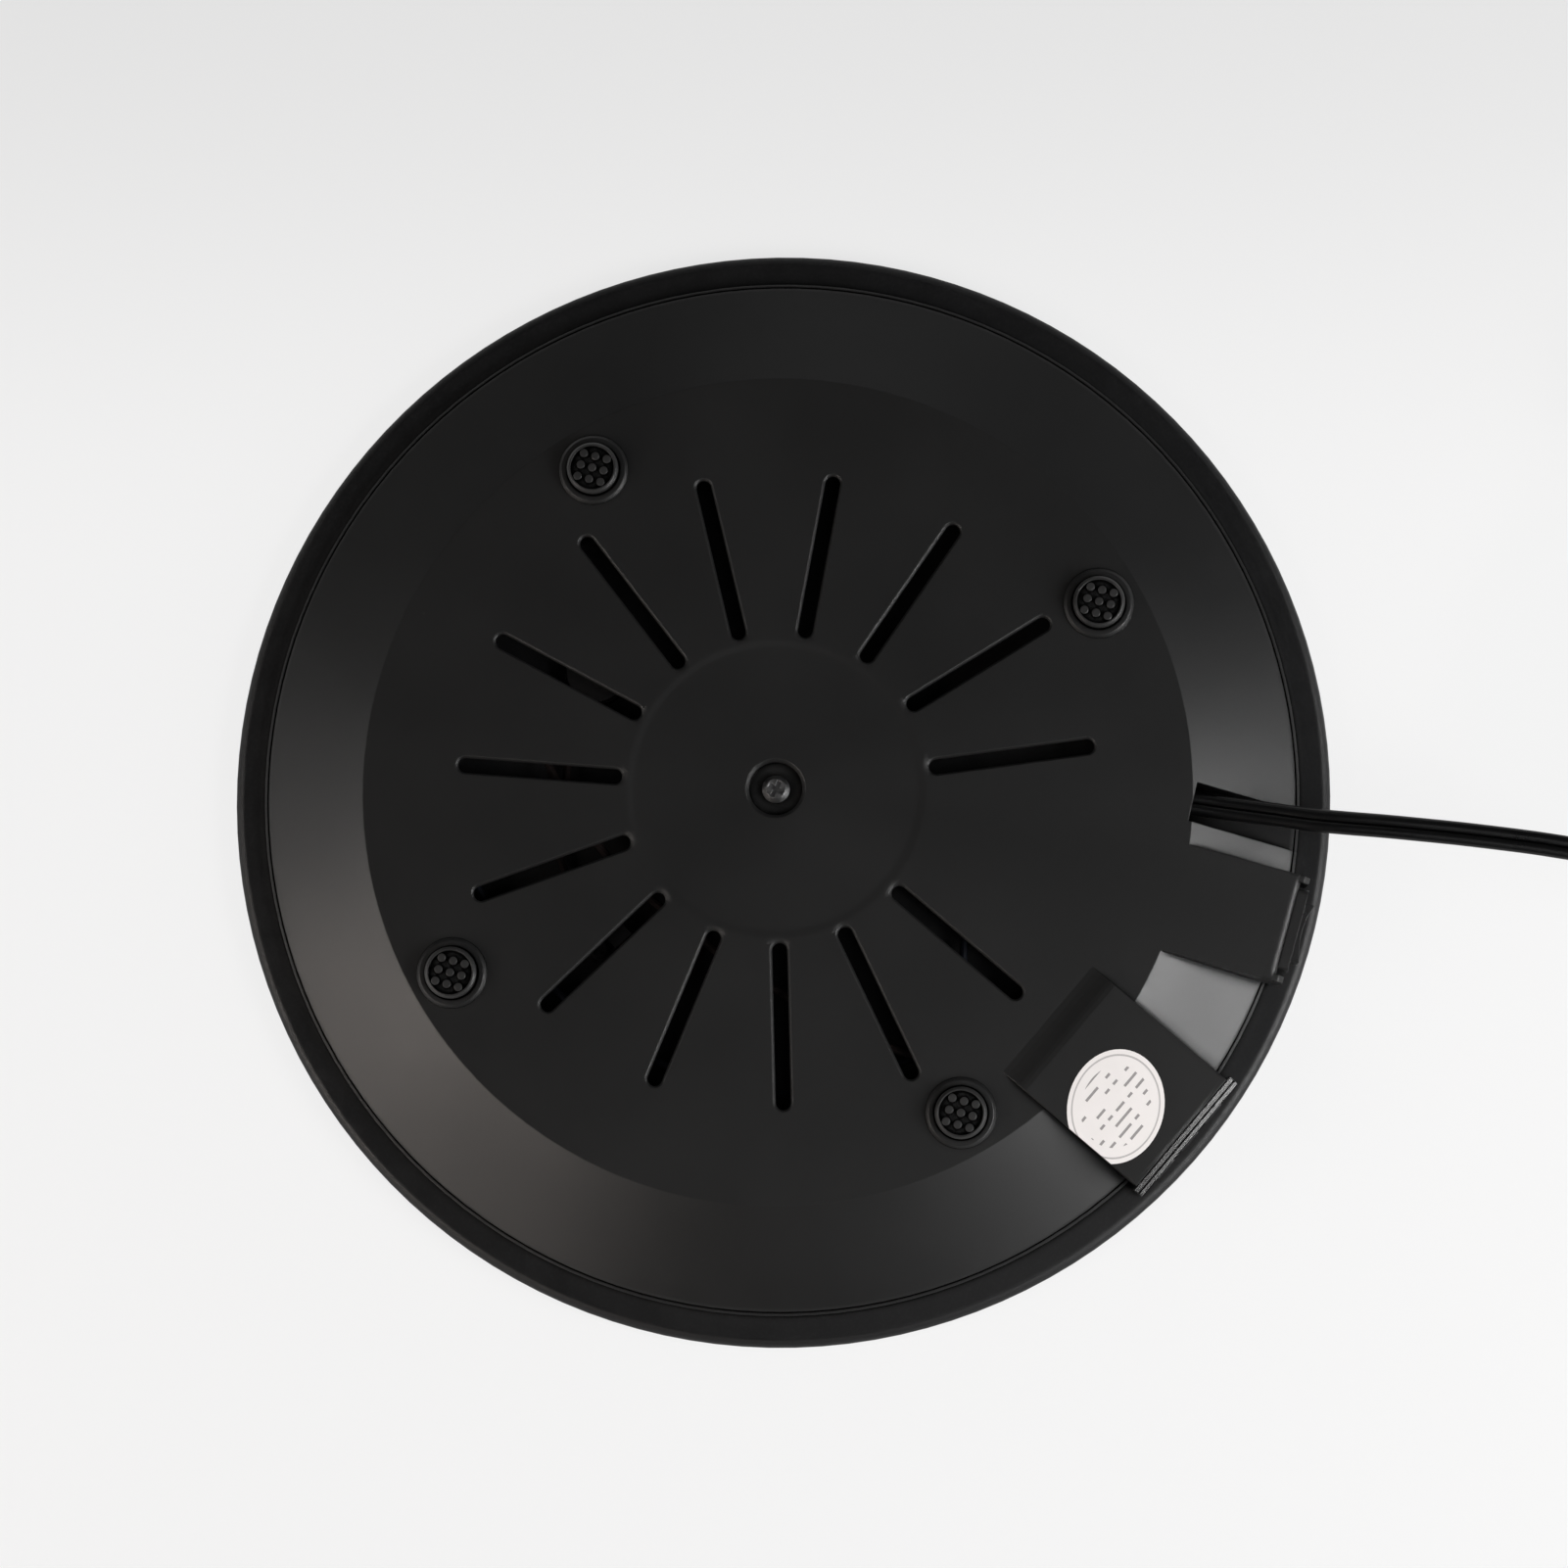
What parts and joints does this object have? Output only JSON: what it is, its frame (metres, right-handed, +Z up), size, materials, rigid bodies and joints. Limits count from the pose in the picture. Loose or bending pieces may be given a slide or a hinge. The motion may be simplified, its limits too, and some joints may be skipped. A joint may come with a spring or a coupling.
{
  "type": "food warming plate",
  "caption": "Round black glass food warming plate on a shallow vented plastic base with rubber feet, a rocker switch, a push-button panel and a flat mains cord coiled to its plug",
  "frame": {"origin": "on the table, on the glass's axis, in the middle of the feet", "axes": "+Z up along the glass's axis; -Y towards the switch and the button panel; +X to the right seen from there"},
  "size_m": [0.3529, 0.3903, 0.026],
  "materials": {
    "black_glass": "polished, opaque black",
    "silicone": "matt",
    "spreader_aluminium": "rolled",
    "mica_sheet": "pressed mica",
    "resistance_ribbon": "rolled strip",
    "mineral_felt": "felt",
    "plated_steel": "zinc plated",
    "base_plastic": "fine moulded texture",
    "foot_rubber": "moulded",
    "switch_plastic": "satin",
    "button_plastic": "satin",
    "contact_brass": "stamped",
    "clear_plastic": "clear",
    "board_green": "solder mask",
    "part_grey": "moulded",
    "lens_white": "diffuse lens",
    "relay_blue": "moulded",
    "can_brown": "sleeved can",
    "phenolic_brown": "moulded",
    "ceramic_white": "glazed ceramic",
    "block_cream": "moulded",
    "wire_brown": "insulated core",
    "wire_blue": "insulated core",
    "wire_black": "insulated core",
    "wire_red": "braided sleeve",
    "label_white": "printed film",
    "cord_black": "soft vinyl",
    "tie_black": "soft vinyl",
    "plug_black": "moulded on",
    "pin_nickel": "nickel plated"
  },
  "bodies": {
    "base": {"glass_plate": "black_glass", "glass_seal": "silicone", "heat_spreader": "spreader_aluminium", "upper_mica": "mica_sheet", "heating_ribbon": "resistance_ribbon", "lower_mica": "mica_sheet", "insulation_pad": "mineral_felt", "clamp_plate": "plated_steel", "centre_standoff": "plated_steel", "base_shell": "base_plastic", "centre_screw": "plated_steel", "foot_1": "foot_rubber", "foot_2": "foot_rubber", "foot_3": "foot_rubber", "foot_4": "foot_rubber", "switch_housing": "switch_plastic", "switch_terminals": "contact_brass", "control_panel": "switch_plastic", "light_guide": "clear_plastic", "control_board": "board_green", "tact_switches": "part_grey", "indicator_leds": "lens_white", "relay": "relay_blue", "capacitor": "can_brown", "thermostat": "phenolic_brown", "thermal_fuse": "contact_brass", "fuse_clip": "plated_steel", "plate_screws": "plated_steel", "heater_terminals": "contact_brass", "terminal_bushes": "ceramic_white", "terminal_block": "block_cream", "terminal_screws": "plated_steel", "cord_clamp": "part_grey", "clamp_screws": "plated_steel", "wire_live": "wire_brown", "wire_neutral": "wire_blue", "wire_switch_feed": "wire_brown", "wire_switched": "wire_black", "wire_thermostat": "wire_red", "wire_fuse": "wire_red", "wire_heater": "wire_red", "wire_return": "wire_blue", "oval_sticker": "label_white", "power_cord": "cord_black", "cord_coil": "cord_black", "cord_tie": "tie_black", "plug_body": "plug_black", "plug_pins": "pin_nickel"},
    "switch_rocker": {"switch_rocker": "switch_plastic"},
    "minus_button": {"minus_button": "button_plastic"},
    "power_button": {"power_button": "button_plastic"},
    "plus_button": {"plus_button": "button_plastic"}
  },
  "joints": [
    {"name": "rocker_tilt", "type": "hinge", "parent": "base", "child": "switch_rocker", "pos_m": [-0.02947, -0.12764, 0.0121], "axis": [0, 0, 1], "range_deg": [-10, 10]},
    {"name": "minus_press", "type": "slide", "parent": "base", "child": "minus_button", "axis": [-0.2079, 0.9781, 0], "range_m": [0, 0.0005], "stiffness_N_per_m": 2000},
    {"name": "power_press", "type": "slide", "parent": "base", "child": "power_button", "axis": [-0.2079, 0.9781, 0], "range_m": [0, 0.0005], "stiffness_N_per_m": 2000},
    {"name": "plus_press", "type": "slide", "parent": "base", "child": "plus_button", "axis": [-0.2079, 0.9781, 0], "range_m": [0, 0.0005], "stiffness_N_per_m": 2000}
  ]
}
